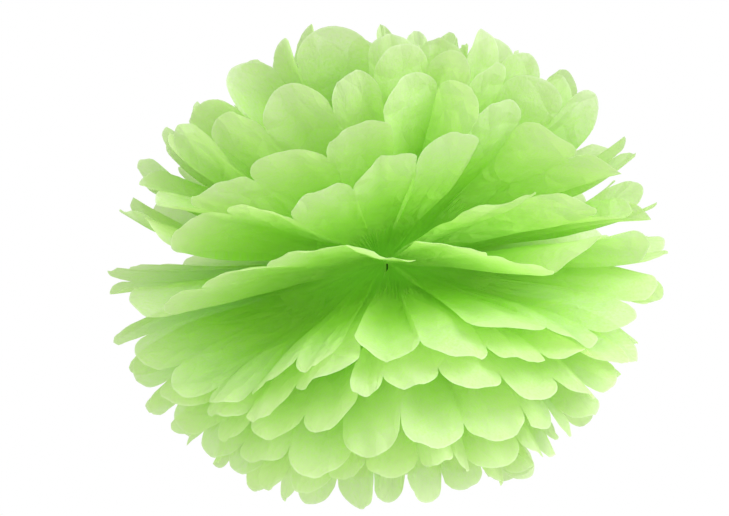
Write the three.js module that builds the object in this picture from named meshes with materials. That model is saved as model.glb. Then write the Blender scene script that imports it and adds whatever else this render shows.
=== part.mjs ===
// Tissue paper pom pom, 350 mm across: twelve pleated tissue sheets, nested in one stack, tied
// round the middle with a twisted wire and fanned out sheet by sheet into a ball.
// Millimetres, +Z up. The origin is the middle of the tied waist, the centre of the ball.
// X runs along the sheets' length, from the left fan to the right fan. The two fans of a
// sheet meet in a seam at the front (-Y) and at the back (+Y).
import * as THREE from "three";

// The tissue, as it is cut and pleated
const SHEET_LENGTH = 350; // from petal tip to petal tip
const PANEL_COUNT = 11; // flat panels between the pleats' folds
const PANEL_WIDTH = 45.5; // from fold to fold
const SCALLOP_DEPTH = 19; // how far a petal's round end reaches past its two folds
const WALL = 0.8; // the real tissue is about 0.04 thick

// The tied waist
const WAIST_WIDTH = 12; // all the panels of a sheet, gathered by the wire
const TIE_SLOT = 3.2; // along X, between the two fans at the seam, for the wire
const WAIST_GAP = 0.4; // between two sheets of the stack

// The ball, as it is fluffed. Azimuths are degrees from the front, negative to the left.
const BACK_SEAM = 3; // degrees from the back to a fan's last fold
const DROOP = 0.08; // share of its elevation that a petal loses at its tip
const ROUNDING = 0.08; // share of its reach that a slanting petal at the side loses
const AZIMUTH_JITTER = 1.6; // degrees, fold by fold
const ELEVATION_JITTER = 1; // degrees, fold by fold
const SLACK = 0.96; // a panel is a little bowed, so its folds lie nearer than its width
const LEAST_PLEAT = 2; // degrees from a hill fold to a valley fold
const MOST_PLEAT = 0.7; // share of the way from one sheet to the next
const BOW = 4; // height of a panel's bow at its middle
const ROOT_TURN = 12; // radius over which a sheet's wall turns from level to its own slope

// How each sheet lies, from the lowest to the highest: its elevation at the left, the front,
// the right and the back, and the folds at the front that are pulled out by hand, each fan's
// from its seam outwards as azimuth and elevation.
const SHEETS = [
  {
    lie: [-63, -62, -62, -63],
    left: [[10, -64], [-4, -61], [-22, -65], [-38, -61], [-56, -64]],
    right: [[7, -58], [24, -63], [40, -59], [58, -62]],
  },
  {
    lie: [-52, -49, -48, -50],
    left: [[-20, -56], [-36, -54], [-54, -56], [-71, -51]],
    right: [[-23, -52], [-10, -51], [7, -49], [17, -46], [24, -52], [42, -47], [58, -50]],
  },
  {
    lie: [-42, -38, -38, -38],
    left: [[-11, -46.5], [-30, -46], [-50, -47], [-67, -42]],
    right: [[-14, -42.5], [1, -35], [18.5, -39], [34, -34], [50, -38]],
  },
  {
    lie: [-33, -28, -27, -28],
    left: [[-7, -29], [-21, -36.5], [-37, -38], [-52, -40], [-67, -34]],
    right: [[-10, -24.5], [-2.5, -25.5], [9.5, -23], [24.5, -25.5], [42, -27], [58, -30]],
  },
  {
    lie: [-24, -20, -18, -18],
    left: [[-6, -19.5], [-22, -28], [-36, -34], [-50, -34], [-65, -28]],
    right: [[-8.5, -16.5], [6, -17], [20.5, -19], [35, -21], [50, -21.5]],
  },
  {
    lie: [-14, -12, -6, -4],
    left: [[-10.5, -18.5], [-20, -22.5], [-33, -30], [-47, -31], [-58.5, -25], [-74, -18]],
    right: [[17, -13], [35.5, -14.5], [52, -16], [66, -9]],
  },
  {
    lie: [-4, 2, 4, 10],
    left: [[6, 0.4], [-8, 3.7], [-25, -0.8], [-40, -6], [-52, -12], [-67, -6]],
    right: [[5, 4.5], [20, 1.4], [35, -2.5], [52, 5.5], [68, 0]],
  },
  {
    lie: [9, 16, 14, 20],
    left: [[19, 24], [6, 24.5], [-6.7, 17.7], [-20.5, 10.5], [-34.5, 11], [-48, 1], [-62, 9]],
    right: [[16, 11.5], [33, 15.5], [50, 11], [65, 15.5], [80, 10.5]],
  },
  {
    lie: [19, 27, 25, 30],
    left: [[0.5, 32], [-15.5, 26], [-31, 18.5], [-46, 12], [-60, 17]],
    right: [[-2, 34], [12, 43], [18.5, 31], [33, 34], [48, 25.5], [64, 21]],
  },
  {
    lie: [29, 38, 36, 40],
    left: [[-2, 42], [-13.5, 36.5], [-31.5, 32], [-50.5, 30.5], [-67, 26]],
    right: [[-5, 46], [11, 49.5], [20, 42], [36, 47], [52, 38]],
  },
  {
    lie: [40, 52, 48, 51],
    left: [[-5, 57], [-35, 55], [-48, 56], [-54, 43], [-73, 35]],
    right: [[-8, 53], [8, 55], [24, 51], [42, 54], [57, 48], [70, 40]],
  },
  {
    lie: [56, 62, 59, 60],
    left: [[8, 62.5], [-2, 60], [-16, 62], [-28, 60], [-44, 61.5]],
    right: [[4, 59.5], [17, 62], [26, 58], [35, 62], [58, 56]],
  },
];
const SHEET_COUNT = SHEETS.length;

// The tie
const WIRE_DIAMETER = 1;
const TIE_CLEARANCE = 0.4; // between the wire and the stack
const TWIST_TURNS = 3;
const TWIST_PITCH = 4.5;
const TWIST_GAP = 0.2; // between the two twisted strands

const RADIUS = (SHEET_LENGTH - TIE_SLOT - WAIST_WIDTH) / 2; // from a root to a petal's tip
const FOLD_LENGTH = RADIUS - SCALLOP_DEPTH;
const STACK_PITCH = WALL + WAIST_GAP;
const STACK_HEIGHT = SHEET_COUNT * STACK_PITCH - WAIST_GAP;
const LEFT = -1;
const RIGHT = 1;
const RINGS = [0, 0.34, 0.68]; // shares of a fold's length where a panel has points
const SCALLOP_STEPS = 6;

const radians = THREE.MathUtils.degToRad;
const degrees = THREE.MathUtils.radToDeg;

// A repeatable number from -1 to 1 for each set of three whole numbers.
function vary(a, b, c) {
  const s = Math.sin(a * 127.1 + b * 311.7 + c * 74.7) * 43758.5453;
  return 2 * (s - Math.floor(s)) - 1;
}

// A whole sheet's elevation at an azimuth, eased from one side of the ball to the next.
function lieAt(sheet, azimuth) {
  const [left, front, right, back] = SHEETS[sheet].lie;
  const turn = Math.abs(azimuth) / 90;
  const side = azimuth < 0 ? left : right;
  const [from, to] = turn < 1 ? [front, side] : [side, back];
  return THREE.MathUtils.lerp(from, to, THREE.MathUtils.smoothstep(turn % 1, 0, 1));
}

// The way to the nearer of a sheet's two neighbours, in degrees of elevation.
function roomAt(sheet, azimuth) {
  const own = lieAt(sheet, azimuth);
  const ways = [sheet - 1, sheet + 1]
    .filter((other) => other >= 0 && other < SHEET_COUNT)
    .map((other) => Math.abs(lieAt(other, azimuth) - own));
  return Math.min(...ways);
}

// The azimuth and elevation of each fold of one fan. The folds that aren't pulled out by
// hand are hills and valleys in turn, as far apart as the panel's width needs.
function foldsOf(sheet, side) {
  const given = SHEETS[sheet][side === LEFT ? "left" : "right"];
  const folds = given.map(([azimuth, elevation]) => ({ azimuth, elevation }));
  const first = folds[folds.length - 1].azimuth;
  const pitch = (side * (180 - BACK_SEAM) - first) / (PANEL_COUNT + 1 - folds.length);
  for (let i = folds.length; i <= PANEL_COUNT; i++) {
    const inner = i < PANEL_COUNT ? 1 : 0;
    const azimuth =
      first +
      pitch * (i - given.length + 1) +
      inner * AZIMUTH_JITTER * vary(sheet, side, i);
    const lie = lieAt(sheet, azimuth);
    const chord = degrees((SLACK * PANEL_WIDTH) / FOLD_LENGTH);
    const across = pitch * Math.cos(radians(lie));
    const pleat = Math.min(
      MOST_PLEAT * roomAt(sheet, azimuth),
      Math.max(LEAST_PLEAT, Math.sqrt(Math.max(0, chord ** 2 - across ** 2))),
    );
    const hill = i % 2 === 0 ? 0.5 : -0.5;
    folds.push({
      azimuth,
      elevation: lie + side * hill * pleat + ELEVATION_JITTER * vary(sheet, side, i + 50),
    });
  }
  return folds;
}

// The root of a fold: the roots of each fan stand on a half circle, with a slot for the
// tie between the two halves.
function waistPoint(sheet, side, index) {
  const turn = (Math.PI * index) / PANEL_COUNT;
  return new THREE.Vector3(
    side * (TIE_SLOT / 2 + (WAIST_WIDTH / 2) * Math.sin(turn)),
    (-WAIST_WIDTH / 2) * Math.cos(turn),
    STACK_PITCH * (sheet - (SHEET_COUNT - 1) / 2),
  );
}

// How far a fold reaches, as a share: off the front, the slanting ones end nearer.
function reachOf(fold) {
  const offFront = Math.sin(radians(Math.min(Math.abs(fold.azimuth), 90)));
  const slanting = Math.sin(radians(2 * fold.elevation));
  return 1 - ROUNDING * offFront ** 2 * slanting ** 2;
}

// The point at a radius along a fold, from its root out.
function foldPoint(sheet, side, index, fold, radius) {
  const elevation = radians(fold.elevation * (1 - DROOP * (radius / RADIUS) ** 2));
  const azimuth = radians(fold.azimuth);
  return new THREE.Vector3(
    Math.sin(azimuth) * Math.cos(elevation),
    -Math.cos(azimuth) * Math.cos(elevation),
    Math.sin(elevation),
  )
    .multiplyScalar(radius * reachOf(fold))
    .add(waistPoint(sheet, side, index));
}

// The way in which a sheet's wall is thick at a point: straight up at the waist, and square
// to the slope of the sheet further out.
function wallWay(point, root, elevation, radius) {
  const flat = new THREE.Vector3(point.x - root.x, point.y - root.y, 0);
  if (flat.length() < 1e-6) return new THREE.Vector3(0, 0, 1);
  const slope = radians(elevation);
  const square = flat
    .normalize()
    .multiplyScalar(-Math.sin(slope))
    .add(new THREE.Vector3(0, 0, Math.cos(slope)));
  const share = Math.min(1, radius / ROOT_TURN);
  return new THREE.Vector3(0, 0, 1).lerp(square, share).normalize();
}

// One sheet's middle surface: two fans of panels that share the waist's edges.
function sheetSurface(sheet) {
  const surface = { points: [], ways: [], triangles: [] };
  const add = (point, way) => {
    surface.points.push(point);
    surface.ways.push(way);
    return surface.points.length - 1;
  };
  const roots = {};
  for (const side of [LEFT, RIGHT]) {
    roots[side] = addFan(surface, add, sheet, side);
  }
  for (let i = 0; i < PANEL_COUNT; i++) {
    const [a, b] = [roots[LEFT][i], roots[LEFT][i + 1]];
    const [c, d] = [roots[RIGHT][i], roots[RIGHT][i + 1]];
    surface.triangles.push([a, c, d], [a, d, b]);
  }
  return surface;
}

// Adds one fan and gives back its points along the waist.
function addFan(surface, add, sheet, side) {
  const folds = foldsOf(sheet, side);
  const cusp = 1;
  const lines = folds.map((fold, i) =>
    [...RINGS, cusp].map((share) => {
      const radius = share * FOLD_LENGTH;
      const point = foldPoint(sheet, side, i, fold, radius);
      return add(point, wallWay(point, waistPoint(sheet, side, i), fold.elevation, radius));
    }),
  );
  const face = (a, b, c) => surface.triangles.push(side === LEFT ? [a, b, c] : [a, c, b]);
  for (let i = 0; i < PANEL_COUNT; i++) {
    const middle = (radius, v) => {
      const a = foldPoint(sheet, side, i, folds[i], radius);
      const b = foldPoint(sheet, side, i + 1, folds[i + 1], radius);
      const root = waistPoint(sheet, side, i + v);
      const elevation = THREE.MathUtils.lerp(folds[i].elevation, folds[i + 1].elevation, v);
      const way = wallWay(a.lerp(b, v), root, elevation, radius);
      const bow =
        BOW * vary(i, side, 90) * Math.sin(Math.PI * v) * Math.min(1, radius / FOLD_LENGTH);
      return add(a.addScaledVector(way, bow), way);
    };
    addPanel(lines[i], lines[i + 1], middle, face);
  }
  return lines.map((line) => line[0]);
}

// The triangles of one panel, from its narrow root to its round end.
function addPanel(near, far, middle, face) {
  const inner = middle(RINGS[1] * FOLD_LENGTH, 0.5);
  const outer = middle(RINGS[2] * FOLD_LENGTH, 0.5);
  face(near[0], far[0], inner);
  face(near[0], inner, near[1]);
  face(far[0], far[1], inner);
  face(near[1], inner, outer);
  face(near[1], outer, near[2]);
  face(inner, far[1], far[2]);
  face(inner, far[2], outer);
  const rim = [near[3]];
  for (let j = 1; j < SCALLOP_STEPS; j++) {
    const turn = (Math.PI * j) / SCALLOP_STEPS;
    rim.push(middle(FOLD_LENGTH + SCALLOP_DEPTH * Math.sin(turn), 0.5 - 0.5 * Math.cos(turn)));
  }
  rim.push(far[3]);
  const half = SCALLOP_STEPS / 2;
  face(near[2], outer, rim[0]);
  face(outer, far[2], rim[SCALLOP_STEPS]);
  for (let j = 0; j < half; j++) face(outer, rim[j + 1], rim[j]);
  for (let j = half; j < SCALLOP_STEPS; j++) face(outer, rim[j + 1], rim[j]);
}

// A closed wall of even thickness round a surface: its top, its underside and a rim.
function thicken({ points, ways, triangles }) {
  const positions = [];
  for (const sign of [0.5, -0.5]) {
    points.forEach((point, i) => {
      positions.push(...point.clone().addScaledVector(ways[i], sign * WALL).toArray());
    });
  }
  const under = points.length;
  const index = [];
  const edges = new Map();
  for (const [a, b, c] of triangles) {
    index.push(a, b, c, a + under, c + under, b + under);
    for (const [from, to] of [[a, b], [b, c], [c, a]]) {
      if (!edges.delete(`${to},${from}`)) edges.set(`${from},${to}`, [from, to]);
    }
  }
  for (const [from, to] of edges.values()) {
    index.push(from, from + under, to + under, from, to + under, to);
  }
  const geometry = new THREE.BufferGeometry();
  geometry.setAttribute("position", new THREE.Float32BufferAttribute(positions, 3));
  geometry.setIndex(index);
  geometry.computeVertexNormals();
  return geometry;
}

// The tie's route: one strand of the twist, once round the stack, and the other strand back.
class TieRoute extends THREE.Curve {
  constructor() {
    super();
    this.halfWidth = WAIST_WIDTH / 2 + TIE_CLEARANCE + WIRE_DIAMETER / 2;
    this.halfHeight = STACK_HEIGHT / 2 + TIE_CLEARANCE + WIRE_DIAMETER / 2;
    this.strand = (WIRE_DIAMETER + TWIST_GAP) / 2;
    this.twistLength = TWIST_TURNS * TWIST_PITCH;
    this.corner = 1.2;
  }

  twistPoint(along, phase) {
    const turn = (2 * Math.PI * along) / TWIST_PITCH + phase;
    return new THREE.Vector3(
      this.strand * Math.cos(turn),
      this.halfWidth + 2 * this.corner + along,
      this.strand * Math.sin(turn),
    );
  }

  loop() {
    const { halfWidth: w, halfHeight: h, corner: r } = this;
    const points = [];
    const corners = [
      [w - r, h - r, 0],
      [-w + r, h - r, 90],
      [-w + r, -h + r, 180],
      [w - r, -h + r, 270],
    ];
    for (const [y, z, start] of corners) {
      for (const turn of [0, 45, 90]) {
        const angle = radians(start + turn);
        points.push(new THREE.Vector3(0, y + r * Math.cos(angle), z + r * Math.sin(angle)));
      }
    }
    return points;
  }

  path() {
    const steps = TWIST_TURNS * 8;
    const out = [];
    for (let i = steps; i >= 0; i--) {
      out.push(this.twistPoint((this.twistLength * i) / steps, Math.PI / 2));
    }
    out.push(...this.loop());
    for (let i = 0; i <= steps; i++) {
      out.push(this.twistPoint((this.twistLength * i) / steps, -Math.PI / 2));
    }
    return new THREE.CatmullRomCurve3(out, false, "centripetal");
  }
}

function tieGeometry() {
  const section = new THREE.Shape().absarc(0, 0, WIRE_DIAMETER / 2, 0, 2 * Math.PI);
  return new THREE.ExtrudeGeometry(section, {
    extrudePath: new TieRoute().path(),
    steps: 110,
    curveSegments: 4,
  });
}

const tissue = new THREE.MeshStandardMaterial({
  color: 0x9fdc5a,
  roughness: 0.9,
  metalness: 0,
  side: THREE.DoubleSide,
});
const wire = new THREE.MeshStandardMaterial({ color: 0x3f7a2c, roughness: 0.5, metalness: 0.1 });

const pomPom = new THREE.Group();
for (let sheet = 0; sheet < SHEET_COUNT; sheet++) {
  const mesh = new THREE.Mesh(thicken(sheetSurface(sheet)), tissue);
  mesh.name = `tissue_sheet_${String(sheet + 1).padStart(2, "0")}`;
  pomPom.add(mesh);
}
const tie = new THREE.Mesh(tieGeometry(), wire);
tie.name = "tie_wire";
pomPom.add(tie);

export default pomPom;
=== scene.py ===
"""A tissue paper pom pom: twelve pleated sheets, tied in the middle and fluffed into a ball.

Metres, +Z up. The origin is the middle of the tied waist. X runs along the sheets' length, from
the left fan to the right fan, and the two fans of a sheet meet at the front (-Y) and the back.
"""

import logging
import math
from dataclasses import dataclass
from enum import Enum

import bpy
import numpy as np
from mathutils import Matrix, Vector


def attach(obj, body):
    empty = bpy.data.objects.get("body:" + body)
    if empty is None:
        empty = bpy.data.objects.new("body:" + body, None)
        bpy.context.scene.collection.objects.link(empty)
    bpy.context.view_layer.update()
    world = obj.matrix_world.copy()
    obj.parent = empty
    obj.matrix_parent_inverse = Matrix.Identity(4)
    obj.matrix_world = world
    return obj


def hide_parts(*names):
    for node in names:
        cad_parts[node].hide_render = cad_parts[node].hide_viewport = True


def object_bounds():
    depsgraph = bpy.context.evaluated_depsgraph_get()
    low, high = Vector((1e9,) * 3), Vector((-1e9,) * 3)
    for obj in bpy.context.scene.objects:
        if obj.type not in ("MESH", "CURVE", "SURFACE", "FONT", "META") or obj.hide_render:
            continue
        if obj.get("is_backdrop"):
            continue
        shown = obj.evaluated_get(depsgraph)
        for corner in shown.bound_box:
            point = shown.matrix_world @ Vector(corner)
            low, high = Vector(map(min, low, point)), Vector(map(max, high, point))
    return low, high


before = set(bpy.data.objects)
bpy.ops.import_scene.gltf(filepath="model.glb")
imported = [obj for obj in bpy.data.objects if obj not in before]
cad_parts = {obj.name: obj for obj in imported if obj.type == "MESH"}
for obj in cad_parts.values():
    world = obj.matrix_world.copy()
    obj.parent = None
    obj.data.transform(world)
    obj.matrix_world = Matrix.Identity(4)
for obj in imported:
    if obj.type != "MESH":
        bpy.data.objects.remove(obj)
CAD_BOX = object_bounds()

log = logging.getLogger("pom_pom")

# The tissue, as it is cut and pleated
SHEET_LENGTH = 0.350
PANEL_COUNT = 11
PANEL_WIDTH = 0.0455
SCALLOP_DEPTH = 0.019
SHEET_WIDTH = PANEL_COUNT * PANEL_WIDTH

# The tied waist
WAIST_WIDTH = 0.012
TIE_SLOT = 0.0032
STACK_PITCH = 0.0012
WAIST_PLEAT = 0.00064

# The ball, as it is fluffed
BACK_SEAM = 1.8
DROOP = 0.08
ROUNDING = 0.08
AZIMUTH_JITTER = 1.6
ELEVATION_JITTER = 1.0
SLACK = 0.96
LEAST_PLEAT = 2.0
MOST_PLEAT = 0.7

RADIUS = (SHEET_LENGTH - TIE_SLOT - WAIST_WIDTH) / 2
FOLD_LENGTH = RADIUS - SCALLOP_DEPTH

# How a petal's end bends off its panel
MOST_CURL = 0.011
CURL_START = 0.62
CURL_AT_CUSP = ((FOLD_LENGTH / RADIUS - CURL_START) / (1 - CURL_START)) ** 2


class Side(Enum):
    """The two fans of a sheet."""

    LEFT = -1
    RIGHT = 1


def vary(a: float, b: float, c: float) -> float:
    """A repeatable number from -1 to 1 for each set of three numbers."""
    s = math.sin(a * 127.1 + b * 311.7 + c * 74.7) * 43758.5453
    return 2 * (s - math.floor(s)) - 1


def ease(x: np.ndarray | float, low: float = 0.0, high: float = 1.0) -> np.ndarray:
    """Goes smoothly from 0 at low to 1 at high."""
    t = np.clip((np.asarray(x, float) - low) / (high - low), 0, 1)
    return t * t * (3 - 2 * t)


@dataclass(frozen=True)
class Lie:
    """A whole sheet's elevation at the four sides of the ball, in degrees."""

    left: float
    front: float
    right: float
    back: float

    def at(self, azimuth: float) -> float:
        """The elevation at an azimuth, eased from one side of the ball to the next."""
        turn = abs(azimuth) / 90
        side = self.left if azimuth < 0 else self.right
        low, high = (self.front, side) if turn < 1 else (side, self.back)
        return low + (high - low) * float(ease(turn % 1))


def reach_at(azimuth: float | np.ndarray, elevation: float | np.ndarray) -> np.ndarray:
    """How far a fold reaches, as a share: the slanting ones are shorter off the front."""
    off_front = np.sin(np.radians(np.minimum(np.abs(azimuth), 90))) ** 2
    return 1 - ROUNDING * off_front * np.sin(np.radians(2 * np.asarray(elevation))) ** 2


@dataclass(frozen=True)
class Petal:
    """How one panel's round end is shaped.

    bow is the height of its crown between its two folds, curl the way its tip bends off the
    panel, both in metres and upwards; pinch is how deep its middle is creased; longer is the
    share that its end reaches further; skew moves the end's top towards a fold.
    """

    bow: float = 0.0
    curl: float = 0.0
    pinch: float = 0.0
    longer: float = 0.0
    skew: float = 0.0


@dataclass(frozen=True)
class Layout:
    """One sheet of the ball: its lie, and the listed folds pulled out at the front.

    The folds are (azimuth, elevation) in degrees, each fan's from its seam outwards. reach is
    the share of its length that the crumpled paper reaches, at the four sides of the ball.
    """

    lie: Lie
    left: tuple[tuple[float, float], ...]
    right: tuple[tuple[float, float], ...]
    reach: Lie

    def given(self, side: Side) -> tuple[tuple[float, float], ...]:
        """The listed folds that were pulled out in one fan."""
        return self.left if side is Side.LEFT else self.right


LAYOUTS: tuple[Layout, ...] = (
    Layout(
        Lie(-63, -62, -62, -63),
        ((10, -64), (-4, -61), (-22, -65), (-38, -61), (-56, -64)),
        ((7, -58), (24, -63), (40, -59), (58, -62)),
        Lie(0.96, 0.93, 0.95, 0.96),
    ),
    Layout(
        Lie(-52, -49, -48, -50),
        ((-20, -56), (-36, -54), (-54, -56), (-71, -51)),
        ((-23, -52), (-10, -51), (7, -49), (17, -46), (24, -52), (42, -47), (58, -50)),
        Lie(0.99, 0.97, 0.95, 0.97),
    ),
    Layout(
        Lie(-42, -38, -38, -38),
        ((-11, -46.5), (-30, -46), (-50, -47), (-67, -42)),
        ((-14, -42.5), (1, -35), (18.5, -39), (34, -34), (50, -38)),
        Lie(1.04, 1, 0.97, 0.99),
    ),
    Layout(
        Lie(-33, -28, -27, -28),
        ((-7, -29), (-21, -36.5), (-37, -38), (-52, -40), (-67, -34)),
        ((-10, -24.5), (-2.5, -25.5), (9.5, -23), (24.5, -25.5), (42, -27), (58, -30)),
        Lie(1.06, 1, 1, 1),
    ),
    Layout(
        Lie(-24, -20, -18, -18),
        ((-6, -19.5), (-22, -28), (-36, -34), (-50, -34), (-65, -28)),
        ((-8.5, -16.5), (6, -17), (20.5, -19), (35, -21), (50, -21.5)),
        Lie(1.06, 1, 1, 1),
    ),
    Layout(
        Lie(-14, -12, -6, -4),
        ((-10.5, -18.5), (-20, -22.5), (-33, -30), (-47, -31), (-58.5, -25), (-74, -18)),
        ((17, -13), (35.5, -14.5), (52, -16), (66, -9)),
        Lie(1.04, 1, 0.99, 1),
    ),
    Layout(
        Lie(-4, 2, 4, 10),
        ((6, 0.4), (-8, 3.7), (-25, -0.8), (-40, -6), (-52, -12), (-67, -6)),
        ((5, 4.5), (20, 1.4), (35, -2.5), (52, 5.5), (68, 0)),
        Lie(1.03, 1, 1, 1),
    ),
    Layout(
        Lie(9, 16, 14, 20),
        ((20.5, 24), (7.5, 22.7), (-6.2, 17.2), (-18.8, 9.6), (-34.5, 11), (-48, 1), (-62, 9)),
        ((16, 11.5), (33, 15.5), (50, 11), (65, 15.5), (80, 10.5)),
        Lie(0.99, 1, 0.98, 1),
    ),
    Layout(
        Lie(19, 27, 25, 30),
        ((1.5, 29.8), (-13.8, 24.3), (-31, 18.5), (-46, 12), (-60, 17)),
        ((-2, 34), (12, 43), (18.5, 31), (33, 34), (48, 25.5), (64, 21)),
        Lie(0.98, 1, 1, 1),
    ),
    Layout(
        Lie(29, 38, 36, 40),
        ((-2, 42), (-13.5, 36.5), (-31.5, 32), (-50.5, 30.5), (-67, 26)),
        ((-5, 46), (11, 49.5), (20, 42), (36, 47), (52, 38)),
        Lie(0.96, 1, 0.99, 0.99),
    ),
    Layout(
        Lie(40, 52, 48, 51),
        ((-5, 57), (-35, 55), (-48, 56), (-54, 43), (-73, 35)),
        ((-8, 53), (8, 55), (24, 51), (42, 54), (57, 48), (70, 40)),
        Lie(0.95, 0.96, 0.98, 0.97),
    ),
    Layout(
        Lie(56, 62, 59, 60),
        ((8, 62.5), (-2, 60), (-16, 62), (-28, 60), (-44, 61.5)),
        ((4, 59.5), (17, 62), (26, 58), (35, 62), (58, 56)),
        Lie(0.91, 0.9, 0.93, 0.94),
    ),
)

# How far the other petals may differ from a plain one
MOST_VARIED = Petal(bow=0.0055, curl=0.005, pinch=0.012, longer=0.025, skew=0.25)
LEAST_PINCH = 0.005

# The petals whose shapes are listed: (sheet, fan, panel from the front seam outwards)
PETALS: dict[tuple[int, Side, int], Petal] = {
    (8, Side.LEFT, 0): Petal(bow=0.002, curl=0.012, longer=0.03, skew=-0.9),
    (8, Side.LEFT, 1): Petal(bow=-0.002, curl=0.003, pinch=0.006, skew=-0.9),
    (8, Side.LEFT, 2): Petal(bow=0.001, curl=0.006),
    (8, Side.LEFT, 3): Petal(bow=0.002, curl=0.003),
    (8, Side.LEFT, 4): Petal(bow=0.004, curl=-0.002, longer=0.02),
    (9, Side.LEFT, 0): Petal(bow=0.002, curl=0.006, skew=-0.5),
    (9, Side.LEFT, 1): Petal(bow=0.002, curl=0.003),
    (9, Side.RIGHT, 0): Petal(bow=0.002, curl=0.010),
    (9, Side.RIGHT, 1): Petal(bow=-0.003, curl=0.008, pinch=0.006),
    (7, Side.LEFT, 0): Petal(bow=-0.001, curl=0.000),
    (7, Side.LEFT, 1): Petal(bow=0.002, curl=-0.002),
    (7, Side.RIGHT, 0): Petal(bow=0.002, curl=-0.002),
    (5, Side.RIGHT, 0): Petal(bow=-0.002, curl=-0.002, pinch=-0.009, longer=-0.06),
    (7, Side.RIGHT, 2): Petal(bow=0.007, curl=0.002),
    (7, Side.RIGHT, 3): Petal(bow=0.007, curl=0.002),
    (8, Side.RIGHT, 0): Petal(bow=-0.004, curl=0.004),
    (8, Side.RIGHT, 1): Petal(bow=-0.004, curl=0.004),
    (8, Side.RIGHT, 2): Petal(bow=-0.007, curl=-0.003),
    (8, Side.RIGHT, 3): Petal(bow=-0.007, curl=-0.003),
    (9, Side.RIGHT, 3): Petal(bow=-0.007, curl=0.000),
    (9, Side.RIGHT, 4): Petal(bow=-0.007, curl=0.000),
    (9, Side.LEFT, 3): Petal(bow=-0.006, curl=0.000),
    (9, Side.LEFT, 4): Petal(bow=-0.007, curl=-0.002),
    (6, Side.RIGHT, 0): Petal(bow=0.003, curl=-0.006),
    (6, Side.LEFT, 1): Petal(bow=0.004, curl=-0.008),
    (6, Side.LEFT, 2): Petal(bow=0.004, curl=-0.010),
}


class Ripple:
    """Smooth, repeatable waves over a flat sheet."""

    def __init__(self, seed: int, cells: int = 64) -> None:
        """Draws the heights of the waves' grid.

        Args:
            seed: what the heights are drawn from.
            cells: how many cells there are before the waves repeat.
        """
        self.cells = cells
        self.heights = np.random.default_rng(seed).uniform(-1, 1, (cells, cells))

    def at(self, x: np.ndarray, y: np.ndarray) -> np.ndarray:
        """The waves' height at each point, from -1 to 1, with one wave to about 2 units."""
        ix, iy = np.floor(x).astype(int), np.floor(y).astype(int)
        fx, fy = ease(x - ix), ease(y - iy)
        corner = lambda a, b: self.heights[(ix + a) % self.cells, (iy + b) % self.cells]
        low = corner(0, 0) * (1 - fx) + corner(1, 0) * fx
        high = corner(0, 1) * (1 - fx) + corner(1, 1) * fx
        return low * (1 - fy) + high * fy


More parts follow.
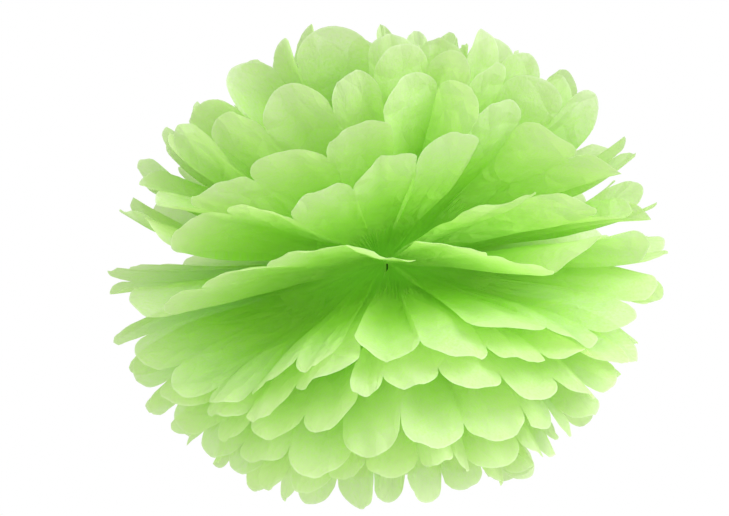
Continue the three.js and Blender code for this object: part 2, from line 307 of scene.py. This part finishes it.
@dataclass
class TissueSheet:
    """One pleated sheet of tissue: two fans of panels that share the tied waist."""

    number: int
    layout: Layout
    below: Lie | None
    above: Lie | None
    columns: int = 16
    rings: int = 46
    area_share: float = 0.73
    most_gather: float = 6.0
    halvings: int = 7
    soft_share: float = 0.30
    waist_reach: float = 0.012
    sway: float = 1.5
    lift: float = 0.8
    sharp_angle: float = 28.0
    broad_wave: tuple[float, float, float] = (0.0016, 0.012, 0.045)
    fine_wave: tuple[float, float, float] = (0.0006, 0.005, 0.016)
    frill_wave: tuple[float, float] = (0.0012, 0.007)

    @property
    def name(self) -> str:
        """The piece's name."""
        return f"petals_{self.number:02d}"

    @property
    def curl(self) -> float:
        """How far the petals' tips bend off their panels: away from the middle of the ball."""
        return MOST_CURL * float(np.clip(self.layout.lie.front / 16, -1, 1))

    @property
    def node(self) -> str:
        """The plain solid that this sheet stands for."""
        return f"tissue_sheet_{self.number:02d}"

    def room_at(self, azimuth: float) -> float:
        """The way to the nearer of the two neighbours, in degrees of elevation."""
        own = self.layout.lie.at(azimuth)
        others = [lie.at(azimuth) for lie in (self.below, self.above) if lie]
        return min(abs(other - own) for other in others)

    def folds(self, side: Side) -> np.ndarray:
        """The azimuth and elevation of each fold of one fan, in degrees.

        Args:
            side: the fan.

        Returns:
            One row for each fold, from the front seam to the back seam.
        """
        given = [list(fold) for fold in self.layout.given(side)]
        sheet = self.number - 1
        first = given[-1][0]
        pitch = (side.value * (180 - BACK_SEAM) - first) / (PANEL_COUNT + 1 - len(given))
        folds = list(given)
        for i in range(len(given), PANEL_COUNT + 1):
            jitter = AZIMUTH_JITTER if i < PANEL_COUNT else 0
            azimuth = first + pitch * (i - len(given) + 1) + jitter * vary(sheet, side.value, i)
            lie = self.layout.lie.at(azimuth)
            chord = math.degrees(SLACK * PANEL_WIDTH / FOLD_LENGTH)
            across = pitch * math.cos(math.radians(lie))
            deepest = math.sqrt(max(0, chord**2 - across**2))
            pleat = min(MOST_PLEAT * self.room_at(azimuth), max(LEAST_PLEAT, deepest))
            hill = 0.5 if i % 2 == 0 else -0.5
            wobble = ELEVATION_JITTER * vary(sheet, side.value, i + 50)
            folds.append([azimuth, lie + side.value * hill * pleat + wobble])
        return np.array(folds)

    def root(self, side: Side, index: np.ndarray) -> np.ndarray:
        """Where folds, or points between them, leave the tied waist."""
        turn = np.pi * np.asarray(index, float) / PANEL_COUNT
        x = side.value * (TIE_SLOT / 2 + WAIST_WIDTH / 2 * np.sin(turn))
        y = -WAIST_WIDTH / 2 * np.cos(turn)
        z = np.full_like(turn, STACK_PITCH * (self.number - 1 - (len(LAYOUTS) - 1) / 2))
        return np.stack([x, y, z], axis=-1)

    def fold_points(self, side: Side, index: np.ndarray, radius: np.ndarray) -> np.ndarray:
        """Points along folds.

        Args:
            side: the fan.
            index: which fold, for each point.
            radius: how far from the root, for each point.

        Returns:
            The points, one more axis than index.
        """
        folds = self.folds(side)
        index = np.clip(index, 0, PANEL_COUNT)
        reach = reach_at(folds[:, 0], folds[:, 1])
        reach = reach * np.array([self.layout.reach.at(azimuth) for azimuth in folds[:, 0]])
        sheet = self.number
        sway = np.array([vary(sheet, side.value * 3, i + 7) for i in range(PANEL_COUNT + 1)])
        lift = np.array([vary(sheet, side.value * 5, i + 9) for i in range(PANEL_COUNT + 1)])
        out = radius / RADIUS
        swing = np.sin(np.pi * np.clip(out, 0, 1))
        azimuth = np.radians(folds[index, 0] + self.sway * sway[index] * swing)
        elevation = folds[index, 1] * (1 - DROOP * out**2) + self.lift * lift[index] * swing
        elevation = np.radians(elevation)
        way = np.stack(
            [
                np.sin(azimuth) * np.cos(elevation),
                -np.cos(azimuth) * np.cos(elevation),
                np.sin(elevation),
            ],
            axis=-1,
        )
        return way * (radius * reach[index])[..., None] + self.root(side, index)

    def petal(self, side: Side, panel: int) -> Petal:
        """A panel's shape: listed, or a little different from each other one.

        Args:
            side: the fan.
            panel: which panel, from the front seam.

        Returns:
            The shape of its round end.
        """
        key = (self.number, side, panel)
        if key in PETALS:
            return PETALS[key]
        chance = lambda k: vary(self.number + 0.5, side.value * (panel + 1), k)
        return Petal(
            bow=MOST_VARIED.bow * chance(1),
            curl=self.curl + MOST_VARIED.curl * chance(2),
            pinch=max(0.0, MOST_VARIED.pinch * chance(3) - LEAST_PINCH),
            longer=MOST_VARIED.longer * chance(4),
            skew=MOST_VARIED.skew * chance(5),
        )

    def fan(self, side: Side, reach: float) -> tuple[np.ndarray, np.ndarray, np.ndarray]:
        """The grid of one fan.

        Args:
            side: the fan.
            reach: how far out the gathers at the waist run, as a share of the radius.

        Returns:
            The points, their place on the flat sheet, and their distance from the rim; each
            array's first axis runs along the radius and its second across the panels.
        """
        steps = np.arange(self.columns) / self.columns
        spread = 0.35 * steps + 0.65 * (0.5 - 0.5 * np.cos(np.pi * steps))
        panel = np.repeat(np.arange(PANEL_COUNT), self.columns)
        across = np.tile(spread, PANEL_COUNT)
        panel = np.append(panel, PANEL_COUNT - 1)
        across = np.append(across, 1.0)
        petals = [self.petal(side, i) for i in range(PANEL_COUNT)]
        trait = lambda name: np.array([getattr(p, name) for p in petals])[panel]

        skewed = across ** (2.0 ** trait("skew"))
        end = np.sqrt(np.clip(1 - (2 * skewed - 1) ** 2, 0, 1))
        rim = FOLD_LENGTH + SCALLOP_DEPTH * end * (1 + trait("longer") * 8)
        ring = np.linspace(0, 1, self.rings + 1)
        ring = (0.75 * ring + 0.25 * (1 - (1 - ring) ** 2))[:, None]
        radius = ring * rim[None, :]
        panel2 = np.broadcast_to(panel, radius.shape)
        v = np.broadcast_to(across, radius.shape)[..., None]

        before = self.fold_points(side, np.maximum(panel2 - 1, 0), radius)
        near = self.fold_points(side, panel2, radius)
        far = self.fold_points(side, panel2 + 1, radius)
        after = self.fold_points(side, np.minimum(panel2 + 2, PANEL_COUNT), radius)
        first, last = (panel2 == 0)[..., None], (panel2 == PANEL_COUNT - 1)[..., None]
        before = np.where(first, 2 * near - far, before)
        after = np.where(last, 2 * far - near, after)
        creased = near + (far - near) * v
        rounded = 0.5 * (
            2 * near
            + (far - before) * v
            + (2 * before - 5 * near + 4 * far - after) * v**2
            + (3 * near - before - 3 * far + after) * v**3
        )
        soft = (self.soft_share * ease(radius / RADIUS, 0.25, 0.95))[..., None]
        points = creased + (rounded - creased) * soft

        way = self.normals(points)
        out = radius / RADIUS
        middle = np.sin(np.pi * across)
        flat_x = (panel + across) * PANEL_WIDTH
        sheet_x = np.broadcast_to(flat_x, radius.shape)

        rise = trait("bow") * middle * ease(out, 0.1, 1.0)
        tip = np.clip((out - CURL_START) / (1 - CURL_START), 0, 1.2) ** 2
        sag = CURL_AT_CUSP * ease(out, 0.0, FOLD_LENGTH / RADIUS)
        rise = rise + trait("curl") * (tip - sag)
        crease = 1 - np.abs(2 * across - 1)
        rise = rise + trait("pinch") * crease * ease(out, 0.45, 1.0)
        broad = Ripple(self.number * 11 + side.value)
        high, wide, long = self.broad_wave
        rise = rise + high * broad.at(sheet_x / wide, radius / long) * ease(out, 0.2, 0.9)
        fine = Ripple(self.number * 17 + side.value + 40)
        high, wide, long = self.fine_wave
        rise = rise + high * fine.at(sheet_x / wide, radius / long) * ease(out, 0.3, 1.0)
        frill = Ripple(self.number * 23 + side.value + 80)
        high, wide = self.frill_wave
        rise = rise + high * frill.at(sheet_x / wide, radius * 0) * ease(out, 0.75, 1.0) ** 2

        width = np.linalg.norm(far - near, axis=-1)
        full = np.minimum(PANEL_WIDTH, self.most_gather * width)
        fade = 1 - ease(radius, 0.5 * reach * RADIUS, 1.1 * reach * RADIUS)
        wanted = width + np.maximum(0, full - width) * fade
        height = np.sqrt(np.maximum(0, wanted**2 - width**2)) / (2 * self.columns)
        off_waist = ease(radius, 0.0, self.waist_reach)
        height = height * off_waist + WAIST_PLEAT * (1 - off_waist)
        column = np.arange(len(across))
        rng = np.random.default_rng(self.number * 101 + side.value)
        uneven = rng.uniform(0.6, 1.4, len(across))
        zigzag = np.where(column % 2 == 0, 1.0, -1.0) * np.where(radius < 1e-9, 1.0, uneven)
        rise = rise + height * zigzag

        points = points + way * rise[..., None]
        flat = np.stack([sheet_x, side.value * (radius + TIE_SLOT / 2)], axis=-1)
        return points, flat, rim[None, :] - radius

    def normals(self, points: np.ndarray) -> np.ndarray:
        """The way square to a fan's surface at each point, upwards.

        Args:
            points: the fan's grid of points.

        Returns:
            One unit vector for each point.
        """
        along = np.gradient(points, axis=0)
        across = np.gradient(points, axis=1)
        kernel = np.hanning(9)[1:-1]
        kernel /= kernel.sum()
        padded = np.pad(across, ((0, 0), (3, 3), (0, 0)), mode="edge")
        across = sum(k * padded[:, j : j + across.shape[1]] for j, k in enumerate(kernel))
        way = np.cross(along, across)
        size = np.linalg.norm(way, axis=-1, keepdims=True)
        way = np.where(size > 1e-12, way / np.maximum(size, 1e-12), [0.0, 0.0, 1.0])
        way[0] = [0, 0, 1]
        flip = np.sign(way[self.rings // 2, :, 2].mean()) or 1.0
        way[1:] *= flip
        return way

    def surface(self, reach: float) -> tuple[np.ndarray, np.ndarray, np.ndarray, np.ndarray]:
        """The whole sheet.

        Args:
            reach: how far out the gathers at the waist run, as a share of the radius.

        Returns:
            Its points, its faces, and each point's place on the flat sheet and distance from
            the rim.
        """
        points, flats, rims, faces = [], [], [], []
        roots = {}
        start = 0
        for side in Side:
            p, f, r = self.fan(side, reach)
            rows, cols = p.shape[:2]
            index = start + np.arange(rows * cols).reshape(rows, cols)
            a, b = index[:-1, :-1], index[:-1, 1:]
            c, d = index[1:, 1:], index[1:, :-1]
            order = (a, b, c, d) if side is Side.RIGHT else (a, d, c, b)
            faces.append(np.stack(order, axis=-1).reshape(-1, 4))
            roots[side] = index[0]
            points.append(p.reshape(-1, 3))
            flats.append(f.reshape(-1, 2))
            rims.append(r.reshape(-1))
            start += rows * cols
        left, right = roots[Side.LEFT], roots[Side.RIGHT]
        strip = np.stack([left[:-1], left[1:], right[1:], right[:-1]], axis=-1)
        faces.append(strip)
        return (
            np.concatenate(points),
            np.concatenate(faces),
            np.concatenate(flats),
            np.concatenate(rims),
        )

    def cut_area(self) -> float:
        """The flat area of the cut sheet: a rectangle less the corners between its lobes."""
        corner = (1 - math.pi / 4) * PANEL_WIDTH * SCALLOP_DEPTH
        return SHEET_WIDTH * SHEET_LENGTH - 2 * PANEL_COUNT * corner

    @staticmethod
    def area(points: np.ndarray, faces: np.ndarray) -> float:
        """The area of a mesh of four-sided faces."""
        a, b, c, d = (points[faces[:, k]] for k in range(4))
        halves = np.linalg.norm(np.cross(b - a, c - a), axis=1)
        halves = halves + np.linalg.norm(np.cross(c - a, d - a), axis=1)
        return float(halves.sum() / 2)

    def soft_faces(self, points: np.ndarray, faces: np.ndarray) -> np.ndarray:
        """Tells the faces that bend softly into the next ones from the sharply pleated ones.

        Args:
            points: the sheet's points.
            faces: its four-sided faces.

        Returns:
            True for each soft face.
        """
        a, b, c, d = (points[faces[:, k]] for k in range(4))
        way = np.cross(c - a, d - b)
        way /= np.maximum(np.linalg.norm(way, axis=1, keepdims=True), 1e-15)
        mean = np.zeros_like(points)
        for k in range(4):
            np.add.at(mean, faces[:, k], way)
        mean /= np.maximum(np.linalg.norm(mean, axis=1, keepdims=True), 1e-15)
        turned = np.min([(mean[faces[:, k]] * way).sum(axis=1) for k in range(4)], axis=0)
        return turned > math.cos(math.radians(self.sharp_angle))

    def gather(self) -> tuple[np.ndarray, np.ndarray, np.ndarray, np.ndarray]:
        """The sheet with gathers at its waist that hold the paper that the fans don't show.

        Returns:
            What surface gives, with the gathers' reach that makes its area right.
        """
        low, high = 0.2, 1.0
        made = self.surface(high)
        for _ in range(self.halvings):
            reach = (low + high) / 2
            made = self.surface(reach)
            if self.area(made[0], made[1]) < self.area_share * self.cut_area():
                low = reach
            else:
                high = reach
        log.info("%s: gathers reach %.2f of the radius", self.name, high)
        return self.surface(high)

    def build(self) -> bpy.types.Object:
        """Makes the sheet's mesh.

        Returns:
            The new piece.
        """
        points, faces, flat, rim = self.gather()
        mesh = bpy.data.meshes.new(self.name)
        mesh.from_pydata(points.tolist(), [], faces.tolist())
        mesh.polygons.foreach_set("use_smooth", self.soft_faces(points, faces))
        layer = mesh.uv_layers.new(name="cut")
        corners = np.empty(len(mesh.loops), dtype=np.int32)
        mesh.loops.foreach_get("vertex_index", corners)
        place = flat / [SHEET_WIDTH, SHEET_LENGTH] + [0.0, 0.5]
        layer.data.foreach_set("uv", place[corners].astype(np.float32).ravel())
        rims = mesh.attributes.new("rim", "FLOAT", "POINT")
        rims.data.foreach_set("value", rim.astype(np.float32))
        mesh.update()
        piece = bpy.data.objects.new(self.name, mesh)
        bpy.context.scene.collection.objects.link(piece)
        self.piece = piece
        return piece

    def dress(self, material: bpy.types.Material) -> None:
        """Gives the sheet its finish, hangs it on the root body and hides the plain solid that it stands
        for.

        Args:
            material: the tissue.
        """
        self.piece.data.materials.append(material)
        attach(self.piece, "root")
        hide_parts(self.node)


class Socket:
    """A shader socket that numbers and other sockets can be reckoned with."""

    def __init__(self, bench: "Bench", socket: bpy.types.NodeSocket) -> None:
        """Holds a node's output on a bench."""
        self.bench = bench
        self.socket = socket

    def _math(self, operation: str, *values: "Socket | float") -> "Socket":
        """Adds one Math node."""
        return self.bench.node("ShaderNodeMath", {"operation": operation}, dict(enumerate(values)))

    def __add__(self, other: "Socket | float") -> "Socket":
        """self + other."""
        return self._math("ADD", self, other)

    def __radd__(self, other: float) -> "Socket":
        """other + self."""
        return self._math("ADD", other, self)

    def __sub__(self, other: "Socket | float") -> "Socket":
        """self - other."""
        return self._math("SUBTRACT", self, other)

    def __rsub__(self, other: float) -> "Socket":
        """other - self."""
        return self._math("SUBTRACT", other, self)

    def __mul__(self, other: "Socket | float") -> "Socket":
        """self * other."""
        return self._math("MULTIPLY", self, other)

    def __rmul__(self, other: float) -> "Socket":
        """other * self."""
        return self._math("MULTIPLY", other, self)

    def __abs__(self) -> "Socket":
        """The size of the value."""
        return self._math("ABSOLUTE", self)

    def clamped(self) -> "Socket":
        """The value, kept from 0 to 1."""
        return self._math("MINIMUM", self._math("MAXIMUM", self, 0.0), 1.0)


class Bench:
    """The node tree of one material, laid out from code."""

    def __init__(self, name: str) -> None:
        """Makes an empty material.

        Args:
            name: the material's name.
        """
        self.material = bpy.data.materials.new(name)
        self.material.use_nodes = True
        self.tree = self.material.node_tree
        self.tree.nodes.clear()

    def node(
        self,
        kind: str,
        settings: dict | None = None,
        inputs: dict | None = None,
        output: str | int = 0,
    ) -> Socket:
        """Adds a node.

        Args:
            kind: the node's type.
            settings: its properties, set first.
            inputs: values or sockets, by the name or number of the input.
            output: the name or number of the output to give back.

        Returns:
            The node's output.
        """
        made = self.tree.nodes.new(kind)
        for key, value in (settings or {}).items():
            setattr(made, key, value)
        for key, value in (inputs or {}).items():
            if isinstance(value, Socket):
                self.tree.links.new(value.socket, made.inputs[key])
            else:
                made.inputs[key].default_value = value
        return Socket(self, made.outputs[output])

    def blend(self, factor: Socket | float, a: object, b: object) -> Socket:
        """Mixes two colours."""
        names = {"Factor": factor, 6: a, 7: b}
        return self.node("ShaderNodeMix", {"data_type": "RGBA"}, names, 2)

    def ramp(self, value: Socket, low: float, high: float) -> Socket:
        """Goes smoothly from 0, where a value is low, to 1 where it is high."""
        settings = {"interpolation_type": "SMOOTHSTEP"}
        inputs = {"Value": value, "From Min": low, "From Max": high, "To Min": 0.0, "To Max": 1.0}
        return self.node("ShaderNodeMapRange", settings, inputs)

    def noise(self, place: Socket, scale: float, detail: float = 2.0, rough: float = 0.5) -> Socket:
        """A cloudy value from 0 to 1."""
        inputs = {"Vector": place, "Scale": scale, "Detail": detail, "Roughness": rough}
        return self.node("ShaderNodeTexNoise", {"noise_dimensions": "2D"}, inputs, 0)

    def crumple(self, place: Socket, scale: float) -> Socket:
        """Flat facets between soft creases, as a height from 0 in a crease upwards.

        Args:
            place: where on the paper.
            scale: how many facets there are to a metre.

        Returns:
            The height.
        """
        swirl = self.node(
            "ShaderNodeTexNoise",
            {"noise_dimensions": "2D"},
            {"Vector": place, "Scale": scale, "Detail": 0.0},
            "Color",
        )
        offset = self.node(
            "ShaderNodeVectorMath", {"operation": "SCALE"}, {0: swirl, "Scale": 0.6 / scale}
        )
        bent = self.node("ShaderNodeVectorMath", {"operation": "ADD"}, {0: place, 1: offset})
        settings = {"voronoi_dimensions": "2D", "feature": "DISTANCE_TO_EDGE"}
        inputs = {"Vector": bent, "Scale": scale}
        return self.node("ShaderNodeTexVoronoi", settings, inputs, "Distance")

    def finish(self, shader: Socket) -> bpy.types.Material:
        """Links the last shader and gives back the material."""
        out = self.tree.nodes.new("ShaderNodeOutputMaterial")
        self.tree.links.new(shader.socket, out.inputs["Surface"])
        return self.material


def linear(red: float, green: float, blue: float) -> tuple[float, float, float, float]:
    """A screen colour of 0 to 255 as the linear colour that a shader takes."""
    out = []
    for value in (red, green, blue):
        c = value / 255
        out.append(c / 12.92 if c <= 0.04045 else ((c + 0.055) / 1.055) ** 2.4)
    return (*out, 1.0)


@dataclass(frozen=True)
class Tissue:
    """Thin dyed tissue paper: dull, fibrous, and light comes through it. Its colour is deeper near the
    waist, a painted shade, and paler at the tips, a painted light; it gives off a faint painted light
    near the waist, and its cut rim is paler, partly frayed paper and partly a painted highlight.
    """

    # The first two colours are painted light and shade: deep is the painted shade near the waist, where
    # the layers shade each other, and pale the painted light at the thin tips that light comes through.
    deep: tuple[float, float, float, float] = (0.56, 0.93, 0.14, 1.0)
    pale: tuple[float, float, float, float] = (0.84, 0.90, 0.66, 1.0)
    through: tuple[float, float, float, float] = (0.63, 0.92, 0.26, 1.0)
    # The next two are painted light: the colour and strength of a faint light that the paper gives off
    # near the waist, in place of light scattered between the layers.
    painted_depth_glow: tuple[float, float, float, float] = (0.55, 1.0, 0.16, 1.0)
    painted_depth_glow_strength: float = 0.13
    # The paler colour of the cut rim: partly frayed paper, partly a painted highlight where the edge
    # catches light.
    edge: tuple[float, float, float, float] = (0.92, 0.96, 0.80, 1.0)
    roughness: float = 0.85
    sheer: float = 0.08
    light_share: float = 0.55
    cloud_scale: float = 90.0
    fibre_scale: float = 500.0
    facet_scale: float = 38.0
    fibre_height: float = 0.0003
    cloud_height: float = 0.0012
    facet_height: float = 0.004
    edge_width: tuple[float, float] = (0.0004, 0.0015)

    def material(self) -> bpy.types.Material:
        """Makes the finish.

        Returns:
            The new material.
        """
        bench = Bench("tissue_paper")
        place = bench.node("ShaderNodeUVMap", {"uv_map": "cut"})
        size = bench.node(
            "ShaderNodeVectorMath",
            {"operation": "MULTIPLY"},
            {0: place, 1: (SHEET_WIDTH, SHEET_LENGTH, 1.0)},
        )
        along = bench.node("ShaderNodeSeparateXYZ", {}, {0: place}, "Y")
        out = abs(along - 0.5) * 2.0
        # Painted light and shade: paler towards the tips, where light comes through a single thin layer,
        # and deeper towards the waist, where the layers shade each other; cloud and fibre add the paper's
        # own random mottle.
        tip = bench.ramp(out, 0.5, 1.04)
        cloud = bench.noise(size, self.cloud_scale, 1.0, 0.6)
        fibre = bench.noise(size, self.fibre_scale, 2.0, 0.7)
        facets = bench.crumple(size, self.facet_scale)
        painted_light_and_mottle = (tip + (cloud - 0.5) * 0.5 + (fibre - 0.5) * 1.1).clamped()
        colour = bench.blend(painted_light_and_mottle, self.deep, self.pale)
        rim = bench.node("ShaderNodeAttribute", {"attribute_name": "rim"}, {}, "Fac")
        # The band nearest the cut rim is paler: partly frayed paper, partly a painted highlight where the
        # edge catches light.
        edge = 1.0 - bench.ramp(rim, *self.edge_width)
        colour = bench.blend(edge, colour, self.edge)
        height = fibre * self.fibre_height + cloud * self.cloud_height
        height = height + facets * self.facet_height
        bump = bench.node(
            "ShaderNodeBump", {}, {"Strength": 0.7, "Distance": 1.0, "Height": height}
        )
        # Painted light: the paper gives off a faint light near the waist, fading out by six tenths of the
        # way to the tips, in place of light scattered between the layers.
        painted_depth_glow_colour = bench.blend(bench.ramp(out, 0.05, 0.6), self.painted_depth_glow, (0.0, 0.0, 0.0, 1.0))
        paper = bench.node(
            "ShaderNodeBsdfPrincipled",
            {},
            {
                "Base Color": colour,
                "Roughness": self.roughness,
                "Specular IOR Level": 0.25,
                "Emission Color": painted_depth_glow_colour,
                "Emission Strength": self.painted_depth_glow_strength,
                "Normal": bump,
            },
        )
        inputs = {"Color": self.through, "Normal": bump}
        light = bench.node("ShaderNodeBsdfTranslucent", {}, inputs)
        share = (self.light_share + (cloud - 0.5) * 0.2 - (fibre - 0.5) * 0.15).clamped()
        both = bench.node("ShaderNodeMixShader", {}, {0: share, 1: paper, 2: light})
        clear = bench.node("ShaderNodeBsdfTransparent")
        sheer = bench.ramp(out, 0.3, 1.0) * self.sheer + (fibre - 0.5) * 0.08
        whole = {0: sheer.clamped(), 1: both, 2: clear}
        return bench.finish(bench.node("ShaderNodeMixShader", {}, whole))


@dataclass(frozen=True)
class PaintedWire:
    """Thin green-coated tie wire."""

    coat: tuple[float, float, float, float] = linear(45, 90, 20)
    roughness: float = 0.8

    def material(self) -> bpy.types.Material:
        """Makes the finish.

        Returns:
            The new material.
        """
        bench = Bench("coated_wire")
        place = bench.node("ShaderNodeTexCoord", {}, {}, "Object")
        cloud = bench.node("ShaderNodeTexNoise", {}, {"Vector": place, "Scale": 700.0})
        dark = tuple(0.6 * c for c in self.coat[:3]) + (1.0,)
        colour = bench.blend(cloud, dark, self.coat)
        bump = bench.node(
            "ShaderNodeBump", {}, {"Strength": 0.3, "Distance": 1.0, "Height": cloud * 0.0001}
        )
        inputs = {
            "Base Color": colour,
            "Roughness": self.roughness,
            "Specular IOR Level": 0.1,
            "Normal": bump,
        }
        return bench.finish(bench.node("ShaderNodeBsdfPrincipled", {}, inputs))


@dataclass
class PomPom:
    """The whole ball."""

    tissue: Tissue = Tissue()
    wire: PaintedWire = PaintedWire()

    def build(self) -> None:
        """Makes the twelve sheets and dresses them and the tie."""
        material = self.tissue.material()
        for i, layout in enumerate(LAYOUTS):
            below = LAYOUTS[i - 1].lie if i else None
            above = LAYOUTS[i + 1].lie if i + 1 < len(LAYOUTS) else None
            sheet = TissueSheet(i + 1, layout, below, above)
            sheet.build()
            sheet.dress(material)
            log.info("%s: %d faces", sheet.name, len(sheet.piece.data.polygons))
        self.dress_tie()

    def dress_tie(self) -> None:
        """Gives the tie its finish."""
        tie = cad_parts["tie_wire"]
        tie.data.materials.clear()
        tie.data.materials.append(self.wire.material())
        log.info("tie_wire: coated")


@dataclass
class Studio:
    """The plain pale studio: camera, soft lamps, floor and backdrop."""

    distance: float = 1.4
    frame_width: float = 0.4556
    look: tuple[float, float] = (-0.01406, 0.0031)
    sky: float = 0.70
    floor_level: float = -0.42
    floor_radius: float = 1.6
    most_bounces: int = 6

    def build(self) -> None:
        """Makes the studio."""
        self.camera()
        self.backdrop()
        self.floor()
        self.lamp("key", (1.3, -1.3, 1.0), 1.2, 38.0)
        self.lamp("fill", (-1.6, -1.2, 0.2), 1.6, 8.0)
        scene = bpy.context.scene
        scene.view_settings.view_transform = "Standard"
        scene.cycles.max_bounces = self.most_bounces
        scene.cycles.diffuse_bounces = self.most_bounces

    def camera(self) -> None:
        """Looks at the ball from the front, level with its tied waist."""
        data = bpy.data.cameras.new("camera")
        data.sensor_width = 36.0
        data.lens = 36.0 * self.distance / self.frame_width
        data.clip_end = 50.0
        camera = bpy.data.objects.new("camera", data)
        camera.location = (self.look[0], -self.distance, self.look[1])
        camera.rotation_euler = (math.pi / 2, 0.0, 0.0)
        bpy.context.scene.collection.objects.link(camera)
        bpy.context.scene.camera = camera

    def lamp(self, name: str, place: tuple[float, float, float], size: float, watts: float) -> None:
        """Adds a soft square lamp that faces the ball."""
        data = bpy.data.lights.new(name, "AREA")
        data.size = size
        data.energy = watts
        lamp = bpy.data.objects.new(name, data)
        lamp.location = place
        lamp.rotation_euler = (-Vector(place)).to_track_quat("-Z", "Y").to_euler()
        bpy.context.scene.collection.objects.link(lamp)

    def backdrop(self) -> None:
        """A white world behind the ball, and a soft even light from all round it."""
        world = bpy.data.worlds.new("backdrop")
        bpy.context.scene.world = world
        world.use_nodes = True
        tree = world.node_tree
        tree.nodes.clear()
        path = tree.nodes.new("ShaderNodeLightPath")
        seen = tree.nodes.new("ShaderNodeMath")
        seen.operation = "MAXIMUM"
        tree.links.new(path.outputs["Is Camera Ray"], seen.inputs[0])
        tree.links.new(path.outputs["Is Glossy Ray"], seen.inputs[1])
        strength = tree.nodes.new("ShaderNodeMapRange")
        strength.inputs["To Min"].default_value = self.sky
        strength.inputs["To Max"].default_value = 1.0
        tree.links.new(seen.outputs[0], strength.inputs["Value"])
        light = tree.nodes.new("ShaderNodeBackground")
        light.inputs["Color"].default_value = (1.0, 1.0, 1.0, 1.0)
        tree.links.new(strength.outputs[0], light.inputs["Strength"])
        out = tree.nodes.new("ShaderNodeOutputWorld")
        tree.links.new(light.outputs[0], out.inputs["Surface"])

    def floor(self) -> None:
        """A pale round floor well below the hanging ball."""
        bpy.ops.object.select_all(action="DESELECT")
        bpy.ops.mesh.primitive_circle_add(
            vertices=96, radius=self.floor_radius, fill_type="NGON", location=(0.0, 0.0, self.floor_level)
        )
        floor = bpy.context.object
        floor.name = "floor"
        bench = Bench("pale_floor")
        inputs = {"Base Color": (0.93, 0.93, 0.93, 1.0), "Roughness": 0.9}
        floor.data.materials.append(
            bench.finish(bench.node("ShaderNodeBsdfPrincipled", {}, inputs))
        )
        floor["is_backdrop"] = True


def main() -> None:
    """Builds the ball and the studio."""
    logging.basicConfig(level=logging.INFO, format="%(name)s: %(message)s")
    Studio().build()
    PomPom().build()
    boxes = {
        "cad": [list(corner) for corner in CAD_BOX],
        "visual": [list(corner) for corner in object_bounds()],
    }


if __name__ == "__main__":
    main()
